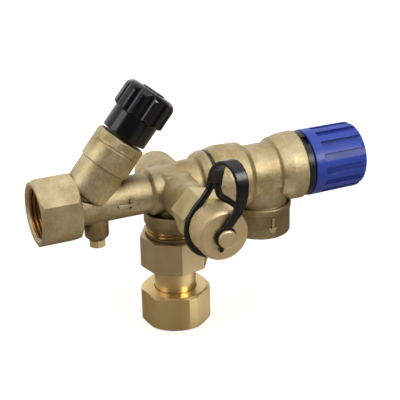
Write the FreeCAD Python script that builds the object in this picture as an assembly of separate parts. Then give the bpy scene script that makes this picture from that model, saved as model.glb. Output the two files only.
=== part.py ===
import FreeCAD
import Part
import math
import os

V = FreeCAD.Vector

# Sizes are in millimetres. The origin is the mouth of the lower union nut, Z is up,
# X runs along the main pipe from the inlet to the relief valve, and -Y is the front.

# Clearances
screw_gap = 0.05
running_gap = 0.06
free_gap = 0.3
seat_gap = 0.05
lip_gap = 0.35
clip_gap = 0.05
eye_gap = 0.25
ring_room = 0.15
screw_end_room = 1.0

# How far a cutting form passes the face that it opens
spare = 1.0
corner_spare = 0.2

# Pipe threads, drawn as plain walls: one inch and three quarter inch
inch_outer = 16.6
inch_thread = 1.45
three_quarter_outer = 13.2
half_outer = 10.45
sink_depth = 1.6

# Main body: overall reaches from the junction
axis_height = 88.0
inlet_reach = 86.6
flange_reach = 21.2
branch_reach = 35.0
rear_reach = 40.0

# Main body: inlet socket and pipe
socket_flats = 37.5
socket_length = 25.0
socket_round = 7.0
socket_thread = 14.5
socket_face_inset = 0.4
socket_chamfer = 2.2
pipe_radius = 12.2
check_step = 1.0
pipe_taper = 2.0

# Main body: slanted stop valve boss
stop_foot = 60.6
stop_angle = 51.0
boss_start = 8.0
boss_step = 28.4
boss_step_rise = 0.4
boss_top = 41.0
boss_radius = 14.2
boss_rim_radius = 15.2
boss_round = 2.0
boss_edge = 0.4
seat_wall = 3.0
seat_hole = 7.0
seat_lip = 1.0
seat_lip_width = 1.6
stop_chamber = 10.6

# Main body: test boss
test_place = 49.2
test_drop = 22.4
test_radius = 7.3
test_round = 2.5

# Main body: junction, cross tube and relief neck
cross_radius = 13.2
cross_bore = 9.0
front_radius = 12.2
front_root = 9.0
front_taper = 6.0
front_round = 3.0
down_radius = 13.9
down_top = 12.8
down_round = 4.0
down_bore = 9.5
tube_radius = 14.3
tube_back = 17.2
tube_step = 1.8
tube_round = 1.0
tube_taper = 7.0
neck_radius = 15.5
neck_start = 8.0
neck_length = 14.5
neck_foot_round = 1.5
flange_shoulder = 17.6
flange_rise = 2.0
flange_round = 1.0
flange_radius = 19.2
relief_thread_depth = 10.5

# Main body: lower port
collar_radius = 18.0
collar_top = 13.2
collar_bottom = 21.2
collar_round = 1.2
port_land = 2.2
port_land_rise = 0.4
port_end = 40.0

# Union nuts and tail
upper_nut_sides = 8
upper_nut_flats = 39.2
upper_nut_chamfer = 0.7
upper_nut_chamfer_rise = 0.5
upper_nut_top = 29.6
upper_nut_height = 19.9
upper_nut_turn = 35.5
lower_nut_flats = 39.4
lower_nut_corners = 42.4
lower_nut_chamfer = 2.4
lower_nut_chamfer_rise = 1.3
lower_nut_height = 22.5
lower_nut_turn = 38.0
nut_sink = 1.0
nut_lip = 4.2
gasket_thick = 2.0
gasket_inset = 0.4
union_shoulder = 3.85
tail_wall = 3.25
tail_flange_gap = 0.35
tail_flange_thick = 4.0
nut_mouth_chamfer = 0.4
nut_thread_length = 10.6
nut_undercut = 0.45
retaining_wire = 1.2
retaining_stand = 0.4

# Stop valve insert, along the slanted axis from the pipe axis
bonnet_flats = 28.6
bonnet_sides = 8
bonnet_flange = 6.7
bonnet_rim = 1.6
bonnet_rim_inset = 0.3
bonnet_chamfer = 1.4
bonnet_chamfer_rise = 1.0
bonnet_thread = 12.3
bonnet_thread_length = 13.0
bonnet_guide_length = 2.0
bonnet_neck_radius = 8.0
bonnet_neck_length = 8.0
bonnet_neck_round = 0.8
gland_depth = 13.5
screw_radius = 5.5
screw_length = 14.0
screw_stand = 2.5
stem_radius = 4.0
stem_ring_wire = 1.05
stem_ring_depth = 4.5
bonnet_ring_wire = 0.9
disc_seal_radius = 9.3
disc_seal_thick = 3.0
disc_radius = 10.1
disc_thick = 4.0
disc_round = 0.8
disc_hub_radius = 6.2
disc_hub_length = 8.0
spindle_tip_radius = 4.2
disc_floor = 0.6
disc_screw_radius = 2.0
disc_screw_head = 4.0
disc_screw_head_thick = 1.6
disc_screw_length = 3.0
disc_screw_end_gap = 0.2
screw_head_round = 0.6
clip_thick = 1.0
clip_depth = 0.8
clip_drop = 3.0
clip_mouth = 2.0

# Stop valve knob
knob_gap = 1.6
skirt_radius = 14.0
skirt_length = 14.7
skirt_wall = 2.4
skirt_round = 0.6
grip_radius = 16.3
grip_length = 16.5
grip_round = 5.0
grip_step = 1.2
grip_step_round = 0.8
flute_count = 12
flute_turn = 7.0
flute_radius = 3.4
flute_depth = 1.5
knob_hub_radius = 8.2
knob_hub_gap = 2.3
knob_web = 6.0
knob_recess = 7.2
knob_recess_depth = 6.5
knob_cap_rise = 0.8
knob_cap_thick = 4.4
knob_cap_round = 0.8
stem_flat = 3.1
stem_flat_length = 9.0
stem_end_gap = 0.3
knob_screw_radius = 2.0
knob_screw_head = 3.8
knob_screw_head_thick = 2.0
knob_screw_length = 10.0

# Test plug
plug_thread = 3.2
plug_thread_length = 7.0
plug_flats = 9.0
plug_head = 4.6
plug_chamfer = 0.6
plug_turn = 15.0
plug_washer_radius = 5.0
plug_washer_thick = 0.8

# Check valve cartridge, placed along the main axis
check_shoulder = 40.0
check_bore = 10.0
cage_length = 21.0
cage_wall = 2.2
cage_seat_thick = 2.0
cage_ring_place = 14.0
cage_ring_wire = 0.7
spider_thick = 2.0
spider_hub_radius = 3.2
spider_arm = 1.6
spider_arms = 3
poppet_gap = 1.4
poppet_overlap = 1.1
poppet_thick = 1.6
poppet_stem = 1.5
poppet_stem_length = 17.0
check_seal_thick = 1.4
check_seal_hub = 1.0
check_spring_radius = 2.5
check_spring_wire = 0.35
check_spring_turns = 5

# Drain cock, placed along the front axis
drain_spigot = 12.0
drain_flats = 27.2
drain_hex_turn = 167.0
drain_hex_end = 52.5
drain_hex_chamfer = 1.4
strap_neck_depth = 0.9
strap_neck_rise = 0.9
strap_seat_end = 57.8
nozzle_end = 70.0
nozzle_chamfer = 1.2
drain_inlet_bore = 6.0
drain_seat_place = 38.5
drain_seat_hole = 5.0
drain_seat_lip = 0.8
drain_seat_lip_width = 1.2
drain_seat_depth = 2.0
drain_chamber = 8.6
drain_ring_wire = 0.9
drain_seal_radius = 6.6
drain_seal_thick = 2.6
drain_spindle_length = 9.0
drain_spindle_flats = 15.4
drain_socket_flats = 6.0
drain_socket_depth = 5.0
drain_tip = 2.4
drain_tip_length = 1.2

# Drain cap and strap
cap_side_wall = 1.44
cap_start = 58.3
cap_end = 74.8
cap_wall = 2.4
cap_chamfer = 1.2
cap_washer_thick = 2.2
stud_radius = 2.6
stud_length = 2.7
stud_head_radius = 5.3
stud_head_thick = 2.4
stud_head_round = 1.2
stud_under_round = 0.6
strap_ring_width = 3.9
strap_ring_thick = 4.3
strap_eye_radius = 6.2
strap_thick = 2.0
strap_width = 7.6
strap_rise = 30.0
strap_root = 1.5
eye_root = 1.0

# Relief valve body, placed along the main axis
ring_gap = 2.2
relief_spigot = 9.5
relief_inlet_bore = 9.0
relief_ring_start = 19.3
relief_ring_rise = 7.0
relief_ring_radius = 20.8
relief_ring_end = 44.5
relief_ring_edge = 20.1
relief_ring_round = 6.0
relief_ring_corner = 0.5
waist_start = 48.2
waist_radius = 17.2
waist_end = 64.8
shoulder_place = 65.8
shoulder_radius = 19.3
housing_start = 73.0
housing_start_radius = 20.9
housing_radius = 21.3
housing_end = 82.3
housing_round = 0.8
cast_round = 1.4
cast_crease = 0.5
relief_seat_place = 46.0
relief_seat_hole = 8.0
relief_seat_lip = 1.6
relief_seat_rise = 3.0
relief_seat_depth = 2.0
relief_chamber = 12.8
housing_bore = 18.0
housing_floor = 71.0

# Relief outlet
outlet_place = 58.3
outlet_drop = 38.5
outlet_neck = 17.0
outlet_step = 2.65
outlet_radius = 18.7
outlet_top = 19.0
outlet_bead_radius = 19.3
outlet_bead = 3.6
bead_round = 1.2
bead_under_round = 0.5
outlet_round = 0.6
outlet_thread = 15.0

# Relief valve insides
diaphragm_thick = 1.5
diaphragm_hole = 3.0
relief_seal_radius = 10.6
relief_seal_thick = 3.0
relief_disc_radius = 11.6
relief_disc_rim = 1.5
relief_disc_thick = 5.0
relief_disc_round = 0.8
relief_disc_rim_round = 0.4
relief_hub_radius = 6.0
spring_plate_radius = 12.0
spring_plate_thick = 3.0
spring_plate_hub = 6.0
spring_plate_hub_length = 5.0
relief_stem_radius = 2.9
relief_stem_stand = 4.0
relief_spring_radius = 9.4
relief_spring_wire = 1.25
relief_spring_turns = 5
spring_end = 99.0
adjuster_thick = 6.0
adjuster_slot = 3.0
relief_stroke = 2.0
relief_turn = 40.0

# Relief bonnet and turning cap
bonnet_ring_radius = 20.3
bonnet_ring_end = 87.0
bonnet_ring_round = 0.5
bonnet_notch_width = 6.5
bonnet_notch_depth = 2.6
bonnet_notch_turn = 205.0
bonnet_inner = 13.2
bonnet_sleeve = 15.4
bonnet_sleeve_end = 112.0
cap_gap = 0.4
relief_cap_rim = 20.7
relief_cap_tip = 20.4
relief_cap_end = 124.0
relief_cap_wall = 2.4
relief_cap_collar = 6.5
relief_cap_foot_round = 0.6
relief_cap_round = 4.5
relief_cap_flutes = 15
relief_cap_turn = 4.8
relief_cap_flute_depth = 1.9
relief_cap_flute_width = 4.4
relief_cap_bore = 17.6
cam_depth = 2.2
cam_lugs = 2
cam_ease = 1.05
crown_root = 0.5
cap_hub_radius = 6.0
cap_hub_thick = 3.6
cap_stem_radius = 2.4
cap_screw_radius = 1.4
cap_screw_length = 8.0
cap_screw_head = 4.4
cap_screw_head_thick = 2.0
cap_screw_recess = 5.4
cap_screw_depth = 3.6


# Places
def on_main(x):
    return FreeCAD.Placement(V(x, 0, axis_height), FreeCAD.Rotation(V(0, 0, 1), V(1, 0, 0)))


stop_direction = V(math.cos(math.radians(stop_angle)), 0, math.sin(math.radians(stop_angle)))
stop_place = FreeCAD.Placement(
    V(-stop_foot, 0, axis_height), FreeCAD.Rotation(V(0, 0, 1), stop_direction))
drain_place = FreeCAD.Placement(V(0, 0, axis_height), FreeCAD.Rotation(V(0, 0, 1), V(0, -1, 0)))
main_place = on_main(0)


def upright(x, z):
    return FreeCAD.Placement(V(x, 0, z), FreeCAD.Rotation())


# Basic forms, each about its own Z axis
def outline(corners):
    # A corner is (radius, height), or (radius, height, rounding).
    edges = []
    joints = []
    count = len(corners)
    for i in range(count):
        corner = V(corners[i][0], 0, corners[i][1])
        if len(corners[i]) == 2:
            joints.append((corner, corner))
            continue
        rounding = corners[i][2]
        before = V(corners[i - 1][0], 0, corners[i - 1][1]) - corner
        after = V(corners[(i + 1) % count][0], 0, corners[(i + 1) % count][1]) - corner
        before.normalize()
        after.normalize()
        half = before.getAngle(after) / 2
        start = corner + before * (rounding / math.tan(half))
        end = corner + after * (rounding / math.tan(half))
        middle_way = before + after
        middle_way.normalize()
        middle = corner + middle_way * (rounding / math.sin(half) - rounding)
        edges.append(Part.Arc(start, middle, end).toShape())
        joints.append((start, end))
    for i in range(count):
        start = joints[i - 1][1]
        end = joints[i][0]
        if start.distanceToPoint(end) > 1e-6:
            edges.append(Part.LineSegment(start, end).toShape())
    return Part.Wire(Part.__sortEdges__(edges))


def turned(corners):
    face = Part.Face(outline(corners))
    return face.revolve(V(0, 0, 0), V(0, 0, 1), 360)


def rod(radius, start, end):
    return Part.makeCylinder(radius, end - start, V(0, 0, start))


def tube(outer, inner, start, end):
    return turned([(inner, start), (outer, start), (outer, end), (inner, end)])


def cone(first, second, start, end):
    return Part.makeCone(first, second, end - start, V(0, 0, start))


def prism(sides, flats, start, end, turn=0.0):
    radius = prism_corner(sides, flats)
    points = []
    for i in range(sides + 1):
        angle = math.radians(turn) + 2 * math.pi * i / sides
        points.append(V(radius * math.cos(angle), radius * math.sin(angle), start))
    return Part.Face(Part.makePolygon(points)).extrude(V(0, 0, end - start))


def prism_corner(sides, flats):
    return flats / 2 / math.cos(math.pi / sides)


def hex_corner(flats):
    return prism_corner(6, flats)


def wire_ring(centre_radius, wire, height):
    return Part.makeTorus(centre_radius, wire, V(0, 0, height))


def coil(radius, wire, start, end, turns):
    # The wire's centre line runs from one end to the other, with its ends inside both faces.
    height = end - start - 2 * wire
    helix = Part.makeHelix(height / turns, height, radius)
    section = Part.Wire(Part.makeCircle(wire, V(radius, 0, 0), V(0, 1, 0)))
    spring = Part.Wire(helix).makePipeShell([section], True, True)
    spring.translate(V(0, 0, start + wire))
    return spring


def placed(shape, placement):
    shape = shape.copy()
    shape.Placement = placement.multiply(shape.Placement)
    return shape


def save(node, shape):
    solids = shape.Solids
    print(node, len(solids), "solid", round(shape.Volume, 1), shape.isValid())
    shape.exportStep("parts/" + node + ".step")


# Main body casting
def socket_form():
    corner = hex_corner(socket_flats) + spare
    form = turned([
        (0, -inlet_reach),
        (socket_flats / 2 - socket_face_inset, -inlet_reach),
        (corner, -inlet_reach + socket_chamfer),
        (corner, -inlet_reach + socket_length, socket_round),
        (0, -inlet_reach + socket_length)])
    return form.common(prism(6, socket_flats, -inlet_reach, -inlet_reach + socket_length))


def stop_boss_form():
    return turned([
        (0, boss_start),
        (boss_radius, boss_start, boss_round),
        (boss_radius, boss_step),
        (boss_rim_radius, boss_step + boss_step_rise),
        (boss_rim_radius, boss_top - boss_edge),
        (boss_rim_radius - boss_edge, boss_top),
        (0, boss_top)])


def cross_form():
    ball = rear_reach - cross_radius
    form = turned([
        (0, -ball),
        (cross_radius, -ball),
        (cross_radius, front_root, front_round),
        (front_radius, front_root + front_taper, front_round),
        (front_radius, branch_reach),
        (0, branch_reach)])
    return form.fuse(Part.makeSphere(cross_radius, V(0, 0, -ball)))


def port_form():
    top = axis_height - collar_top
    under = axis_height - collar_bottom
    end = axis_height - port_end
    return turned([
        (0, axis_height + down_top),
        (down_radius, axis_height + down_top, down_round),
        (down_radius, top),
        (collar_radius, top, collar_round / 2),
        (collar_radius, under, collar_round),
        (inch_outer + port_land_rise, under),
        (inch_outer + port_land_rise, under - port_land),
        (inch_outer, under - port_land - port_land_rise),
        (inch_outer, end + sink_depth),
        (inch_outer - sink_depth, end),
        (0, end)])


def neck_form():
    return turned([
        (0, -tube_back),
        (pipe_radius, -tube_back),
        (tube_radius, -tube_back + tube_step, tube_round),
        (tube_radius, neck_start - tube_taper),
        (neck_radius, neck_start),
        (neck_radius, neck_length, neck_foot_round),
        (flange_shoulder, neck_length + flange_rise / 2, flange_round),
        (flange_radius, flange_reach - flange_rise, flange_round),
        (flange_radius, flange_reach),
        (0, flange_reach)])


def main_cavity():
    thread_end = -inlet_reach + socket_thread
    inlet = rod(inch_minor, -inlet_reach, thread_end)
    inlet = inlet.fuse(cone(inch_minor + sink_depth, inch_minor, -inlet_reach, -inlet_reach + sink_depth))
    inlet = inlet.fuse(cone(inch_minor, pipe_bore, thread_end, thread_end + pipe_taper))
    pipe = placed(rod(pipe_bore, thread_end, 0), main_place)
    wall_radius = pipe_radius / math.sin(math.radians(stop_angle))
    wall = placed(rod(wall_radius, -seat_wall / 2, seat_wall / 2), stop_place)
    lip = tube(seat_hole + seat_lip_width, seat_hole, seat_wall / 2, seat_wall / 2 + seat_lip)
    chamber = rod(stop_chamber, seat_wall / 2, boss_top).cut(lip)
    chamber = chamber.fuse(rod(bonnet_thread + screw_gap, boss_top - bonnet_thread_length, boss_top))
    chamber = chamber.fuse(rod(seat_hole, -seat_wall, seat_wall))
    cavity = pipe.cut(wall)
    cavity = cavity.fuse(placed(chamber, stop_place))
    cavity = cavity.fuse(placed(inlet, main_place))
    cavity = cavity.fuse(placed(rod(check_bore, -check_shoulder, flange_reach), main_place))
    cavity = cavity.fuse(placed(
        rod(three_quarter_outer + screw_gap, flange_reach - relief_thread_depth, flange_reach), main_place))
    cross = rod(cross_bore, cross_radius - rear_reach, branch_reach)
    cross = cross.fuse(Part.makeSphere(cross_bore, V(0, 0, cross_radius - rear_reach)))
    cross = cross.fuse(rod(half_outer + screw_gap, branch_reach - drain_spigot - spare, branch_reach))
    cavity = cavity.fuse(placed(cross, drain_place))
    cavity = cavity.fuse(rod(down_bore, axis_height - port_end, axis_height))
    test_bore = rod(plug_thread + screw_gap, axis_height - test_drop, axis_height)
    return cavity.fuse(placed(test_bore, upright(-test_place, 0)))


def main_body():
    test_boss = turned([
        (0, axis_height),
        (test_radius, axis_height),
        (test_radius, axis_height - test_drop, test_round),
        (0, axis_height - test_drop)])
    body = placed(rod(pipe_radius, -inlet_reach + socket_length / 2, 0), main_place)
    body = body.fuse(placed(socket_form(), main_place))
    body = body.fuse(placed(stop_boss_form(), stop_place))
    body = body.fuse(placed(test_boss, upright(-test_place, 0)))
    body = body.fuse(placed(cross_form(), drain_place))
    body = body.fuse(port_form())
    body = body.fuse(placed(neck_form(), main_place))
    return body.cut(main_cavity()).removeSplitter()


# Union nuts and tail
def nut_blank(blank, corner, height, chamfer, rise):
    form = turned([
        (0, 0),
        (corner - chamfer, 0),
        (corner, rise),
        (corner, height - rise),
        (corner - chamfer, height),
        (0, height)])
    return form.common(blank)


def upper_union_nut():
    blank = prism(upper_nut_sides, upper_nut_flats, 0, upper_nut_height, upper_nut_turn)
    corner = prism_corner(upper_nut_sides, upper_nut_flats) + corner_spare
    nut = nut_blank(blank, corner, upper_nut_height, upper_nut_chamfer, upper_nut_chamfer_rise)
    nut = nut.cut(rod(inch_outer + screw_gap, nut_lip, upper_nut_height))
    nut = nut.cut(rod(tail_radius + lip_gap, 0, nut_lip))
    sink_start = upper_nut_height - nut_sink
    return nut.cut(cone(inch_outer + screw_gap, inch_outer + nut_sink, sink_start, upper_nut_height))


def lower_union_nut():
    thread_end = nut_mouth_chamfer + nut_thread_length
    blank = prism(6, lower_nut_flats, 0, lower_nut_height, lower_nut_turn)
    blank = blank.common(prism(6, lower_nut_corners, 0, lower_nut_height, lower_nut_turn + 30))
    corner = lower_nut_corners / 2 + corner_spare
    nut = nut_blank(blank, corner, lower_nut_height, lower_nut_chamfer, lower_nut_chamfer_rise)
    nut = nut.cut(rod(inch_minor, 0, thread_end))
    nut = nut.cut(cone(inch_minor + nut_mouth_chamfer, inch_minor, 0, nut_mouth_chamfer))
    nut = nut.cut(rod(inch_minor + nut_undercut, thread_end, lower_nut_height - nut_lip))
    return nut.cut(rod(tail_radius + lip_gap, 0, lower_nut_height))


def tail_piece():
    top = axis_height - port_end - gasket_thick
    flange_top = lower_nut_height - nut_lip - free_gap
    flange_under = flange_top - tail_flange_thick
    tail = turned([
        (tail_bore, flange_under),
        (tail_flange_radius, flange_under),
        (tail_flange_radius, flange_top),
        (tail_radius, flange_top),
        (tail_radius, top),
        (tail_bore, top)])
    return tail.cut(wire_ring(retaining_radius, retaining_wire + screw_gap, retaining_height))


# Stop valve insert
def stop_bonnet():
    top = boss_top + bonnet_flange
    neck_top = top + bonnet_neck_length
    guide_under = boss_top - bonnet_thread_length - bonnet_guide_length
    flange = prism(bonnet_sides, bonnet_flats, boss_top, top, 180 / bonnet_sides)
    flange = flange.common(turned([
        (0, boss_top),
        (boss_rim_radius, boss_top),
        (boss_rim_radius, top - bonnet_chamfer_rise),
        (boss_rim_radius - bonnet_chamfer, top),
        (0, top)]))
    core = turned([
        (0, guide_under),
        (stop_chamber - 2 * screw_gap, guide_under),
        (stop_chamber - 2 * screw_gap, guide_under + bonnet_guide_length),
        (bonnet_thread, guide_under + bonnet_guide_length),
        (bonnet_thread, boss_top + spare),
        (bonnet_neck_radius, boss_top + spare),
        (bonnet_neck_radius, neck_top, bonnet_neck_round),
        (0, neck_top)])
    rim = rod(boss_rim_radius - bonnet_rim_inset, boss_top, boss_top + bonnet_rim)
    bonnet = core.fuse(flange).fuse(rim)
    bonnet = bonnet.cut(rod(screw_radius + running_gap, guide_under, neck_top - gland_depth))
    bonnet = bonnet.cut(rod(stem_radius + running_gap, guide_under, neck_top))
    groove = stem_ring_radius + stem_ring_wire + screw_gap
    groove_half = stem_ring_wire + ring_room
    bonnet = bonnet.cut(rod(groove, stem_ring_place - groove_half, stem_ring_place + groove_half))
    gland_floor = bonnet_thread - 2 * bonnet_ring_wire - screw_gap
    gland_start = bonnet_ring_place - bonnet_ring_wire - ring_room
    bonnet = bonnet.cut(tube(bonnet_thread + spare, gland_floor, gland_start, boss_top))
    return bonnet.removeSplitter()


def stop_disc():
    disc = turned([
        (0, disc_under),
        (disc_seal_radius + screw_gap, disc_under),
        (disc_seal_radius + screw_gap, disc_under - disc_seal_thick / 2),
        (disc_radius, disc_under - disc_seal_thick / 2),
        (disc_radius, disc_under + disc_thick, disc_round),
        (disc_hub_radius, disc_under + disc_thick),
        (disc_hub_radius, disc_hub_top),
        (0, disc_hub_top)])
    disc = disc.cut(rod(disc_screw_radius + screw_gap, disc_under, disc_under + disc_screw_length))
    disc = disc.cut(rod(spindle_tip_radius + running_gap, spindle_seat, disc_hub_top))
    groove = rod(spindle_tip_radius + clip_depth + running_gap, clip_place, clip_place + clip_thick)
    return disc.cut(groove)


def stop_disc_clip():
    inner = spindle_tip_radius - clip_depth + running_gap
    start = clip_place + clip_gap
    clip = tube(spindle_tip_radius + clip_depth, inner, start, start + clip_thick - 2 * clip_gap)
    mouth = Part.makeBox(2 * spindle_tip_radius, clip_mouth, clip_thick, V(0, -clip_mouth / 2, clip_place))
    return clip.cut(mouth)


def stop_disc_screw():
    return turned([
        (0, disc_seal_under - disc_screw_head_thick),
        (disc_screw_head, disc_seal_under - disc_screw_head_thick, screw_head_round),
        (disc_screw_head, disc_seal_under),
        (disc_screw_radius, disc_seal_under),
        (disc_screw_radius, disc_under + disc_screw_length - disc_screw_end_gap),
        (0, disc_under + disc_screw_length - disc_screw_end_gap)])


def stop_spindle():
    clip_floor = spindle_tip_radius - clip_depth
    spindle = turned([
        (0, spindle_seat + seat_gap),
        (spindle_tip_radius, spindle_seat + seat_gap),
        (spindle_tip_radius, clip_place - clip_gap),
        (clip_floor, clip_place - clip_gap),
        (clip_floor, clip_place + clip_thick + clip_gap),
        (spindle_tip_radius, clip_place + clip_thick + clip_gap),
        (spindle_tip_radius, screw_start),
        (screw_radius, screw_start),
        (screw_radius, screw_start + screw_length),
        (stem_radius, screw_start + screw_length),
        (stem_radius, stem_end),
        (0, stem_end)])
    for side in (1, -1):
        flat = Part.makeBox(2 * stem_radius, stem_radius, stem_flat_length,
                            V(-stem_radius, -stem_radius / 2, stem_end - stem_flat_length))
        flat.translate(V(0, side * (stem_flat + stem_radius / 2), 0))
        spindle = spindle.cut(flat)
    return spindle.cut(rod(knob_screw_radius + screw_gap, stem_end - knob_screw_length, stem_end))


def knob():
    grip_start = knob_start + skirt_length
    shell = turned([
        (0, knob_start),
        (skirt_radius, knob_start, skirt_round),
        (skirt_radius, grip_start - grip_step),
        (grip_radius, grip_start, grip_step_round),
        (grip_radius, knob_end, grip_round),
        (0, knob_end)])
    flute_start = grip_start - grip_step - spare
    keep = rod(skirt_radius, flute_start, grip_start)
    for i in range(flute_count):
        angle = math.radians(flute_turn) + 2 * math.pi * i / flute_count
        reach = grip_radius - flute_depth + flute_radius
        flute = rod(flute_radius, flute_start, knob_end + spare)
        flute.translate(V(reach * math.cos(angle), reach * math.sin(angle), 0))
        shell = shell.cut(flute.cut(keep))
    web_under = knob_floor - knob_web
    cavity = tube(skirt_radius - skirt_wall, knob_hub_radius, knob_start, web_under)
    cavity = cavity.fuse(rod(skirt_radius - skirt_wall, knob_start, knob_hub_start))
    cavity = cavity.fuse(rod(knob_recess, knob_floor, knob_end))
    hole = rod(stem_radius + screw_gap, knob_hub_start, knob_floor)
    keys = Part.makeBox(2 * knob_hub_radius, 2 * (stem_flat + screw_gap), stem_flat_length,
                        V(-knob_hub_radius, -stem_flat - screw_gap, knob_floor - stem_flat_length))
    shaped = rod(stem_radius + screw_gap, knob_floor - stem_flat_length, knob_floor).common(keys)
    hole = hole.cut(rod(stem_radius + spare, knob_floor - stem_flat_length, knob_floor + spare)).fuse(shaped)
    return shell.cut(cavity).cut(hole).removeSplitter()


def knob_screw():
    return turned([
        (0, knob_floor - knob_screw_length + screw_end_room),
        (knob_screw_radius, knob_floor - knob_screw_length + screw_end_room),
        (knob_screw_radius, knob_floor),
        (knob_screw_head, knob_floor),
        (knob_screw_head, knob_floor + knob_screw_head_thick, screw_head_round),
        (0, knob_floor + knob_screw_head_thick)])


def knob_cap():
    top = knob_end + knob_cap_rise
    return turned([
        (0, top - knob_cap_thick),
        (knob_recess - screw_gap, top - knob_cap_thick),
        (knob_recess - screw_gap, top, knob_cap_round),
        (0, top)])


# Test plug
def test_plug():
    boss_under = axis_height - test_drop
    head_top = boss_under - plug_washer_thick
    shank = rod(plug_thread, head_top, head_top + plug_thread_length)
    head = prism(6, plug_flats, head_top - plug_head, head_top, plug_turn).common(turned([
        (0, head_top - plug_head),
        (hex_corner(plug_flats) - plug_chamfer, head_top - plug_head),
        (hex_corner(plug_flats) + corner_spare, head_top - plug_head + plug_chamfer),
        (hex_corner(plug_flats) + corner_spare, head_top),
        (0, head_top)]))
    return shank.fuse(head).removeSplitter()


# Check valve cartridge
def check_cage():
    outer = check_bore - 2 * screw_gap
    inner = outer - cage_wall
    cage = turned([
        (cage_seat_hole, cage_start),
        (outer, cage_start),
        (outer, cage_end),
        (inner, cage_end),
        (inner, cage_start + cage_seat_thick),
        (cage_seat_hole, cage_start + cage_seat_thick)])
    groove_half = cage_ring_wire + ring_room
    groove = tube(outer + spare, cage_ring_radius - cage_ring_wire - screw_gap,
                  cage_ring_centre - groove_half, cage_ring_centre + groove_half)
    cage = cage.cut(groove)
    hub = rod(spider_hub_radius, cage_end - spider_thick, cage_end)
    for i in range(spider_arms):
        arm = Part.makeBox(inner + cage_wall / 2, spider_arm, spider_thick,
                           V(0, -spider_arm / 2, cage_end - spider_thick))
        arm.rotate(V(0, 0, 0), V(0, 0, 1), 360 * i / spider_arms)
        hub = hub.fuse(arm)
    hub = hub.cut(rod(poppet_stem + running_gap, cage_end - spider_thick, cage_end))
    return cage.fuse(hub).removeSplitter()


def check_poppet():
    return turned([
        (0, cage_start + cage_seat_thick),
        (check_seal_inner - screw_gap, cage_start + cage_seat_thick),
        (check_seal_inner - screw_gap, poppet_start),
        (poppet_radius, poppet_start),
        (poppet_radius, poppet_start + poppet_thick),
        (poppet_stem, poppet_start + poppet_thick),
        (poppet_stem, poppet_start + poppet_thick + poppet_stem_length),
        (0, poppet_start + poppet_thick + poppet_stem_length)])


# Drain cock
def drain_body():
    hexagon = prism(6, drain_flats, branch_reach, drain_hex_end, drain_hex_turn).common(turned([
        (0, branch_reach),
        (hex_corner(drain_flats) + corner_spare, branch_reach),
        (hex_corner(drain_flats) + corner_spare, drain_hex_end - drain_hex_chamfer / 2),
        (hex_corner(drain_flats) - drain_hex_chamfer, drain_hex_end),
        (0, drain_hex_end)]))
    core = turned([
        (0, branch_reach - drain_spigot),
        (half_outer, branch_reach - drain_spigot),
        (half_outer, branch_reach + spare),
        (strap_neck, branch_reach + spare),
        (strap_neck, strap_seat_end - strap_neck_rise),
        (three_quarter_outer, strap_seat_end),
        (three_quarter_outer, nozzle_end - nozzle_chamfer),
        (three_quarter_outer - nozzle_chamfer, nozzle_end),
        (0, nozzle_end)])
    body = core.fuse(hexagon)
    floor = drain_seat_place - drain_seat_lip
    body = body.cut(rod(drain_inlet_bore, branch_reach - drain_spigot, floor - drain_seat_depth))
    body = body.cut(rod(drain_seat_hole, floor - drain_seat_depth, drain_seat_place))
    body = body.cut(tube(drain_chamber, drain_seat_hole + drain_seat_lip_width, floor, drain_seat_place))
    body = body.cut(rod(drain_chamber, drain_seat_place, nozzle_end))
    groove_floor = drain_ring_radius - drain_ring_wire - screw_gap
    groove_start = drain_ring_place - drain_ring_wire - ring_room
    groove = tube(half_outer + spare, groove_floor, groove_start, branch_reach)
    return body.cut(groove).removeSplitter()


def drain_spindle():
    start = drain_seal_end + seat_gap
    end = start + drain_spindle_length
    spindle = rod(drain_chamber - running_gap, start, end)
    spindle = spindle.common(prism(6, drain_spindle_flats, start, end))
    spindle = spindle.fuse(rod(drain_tip, start - drain_tip_length, start))
    return spindle.cut(prism(6, drain_socket_flats, end - drain_socket_depth, end)).removeSplitter()


def drain_seal():
    seal = rod(drain_seal_radius, drain_seat_place + seat_gap, drain_seal_end)
    pocket = rod(drain_tip + running_gap, drain_seal_end - drain_tip_length, drain_seal_end)
    return seal.cut(pocket)


def drain_cap():
    floor = cap_end - cap_wall
    cap = turned([
        (0, floor),
        (three_quarter_outer + running_gap, floor),
        (three_quarter_outer + running_gap, cap_start),
        (cap_radius - cap_chamfer / 2, cap_start),
        (cap_radius, cap_start + cap_chamfer),
        (cap_radius, cap_end - cap_chamfer),
        (cap_radius - cap_chamfer, cap_end),
        (stud_radius, cap_end),
        (stud_radius, cap_end + stud_length),
        (stud_head_radius, cap_end + stud_length, stud_under_round),
        (stud_head_radius, cap_end + stud_length + stud_head_thick, stud_head_round),
        (0, cap_end + stud_length + stud_head_thick)])
    return cap


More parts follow.
